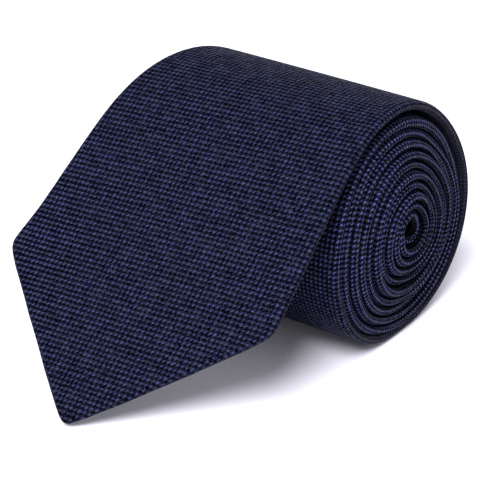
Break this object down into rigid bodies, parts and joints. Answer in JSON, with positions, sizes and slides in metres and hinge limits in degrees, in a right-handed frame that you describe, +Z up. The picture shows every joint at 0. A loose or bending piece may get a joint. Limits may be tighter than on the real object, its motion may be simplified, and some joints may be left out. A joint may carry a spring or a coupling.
{
  "type": "rolled necktie",
  "caption": "Folded and lined necktie wound from its tail into a loose roll, with the wide pointed blade outermost and its free end resting on the table.",
  "frame": {"origin": "on the table under the middle of the object's box", "axes": "+Z up, X along the roll's axis with the flush spiral end at +X, -Y from the roll towards the free pointed tip"},
  "size_m": [0.085, 0.1398, 0.0738],
  "materials": {
    "shell_silk": "navy textured weave, soft sheen, bias cut",
    "interlining": "brushed undyed wool",
    "tipping": "smooth navy twill lining",
    "label": "plain woven tape, no lettering",
    "thread": "navy sewing thread"
  },
  "bodies": {
    "roll": {"front_blade_rolled": "shell_silk", "neck_band": "shell_silk", "tail_blade": "shell_silk", "front_interlining_rolled": "interlining", "tail_interlining": "interlining", "tail_tipping": "tipping", "keeper_loop": "shell_silk", "blank_label": "label", "slip_stitch": "thread", "front_bar_tack": "thread", "tail_bar_tack": "thread"},
    "blade": {"front_blade_free": "shell_silk", "front_interlining_free": "interlining", "front_tipping": "tipping"}
  },
  "joints": [
    {"name": "blade_lift", "type": "hinge", "parent": "roll", "child": "blade", "pos_m": [0, 0.01653, 0.07383], "axis": [-1, 0, 0], "range_deg": [0, 60]}
  ]
}
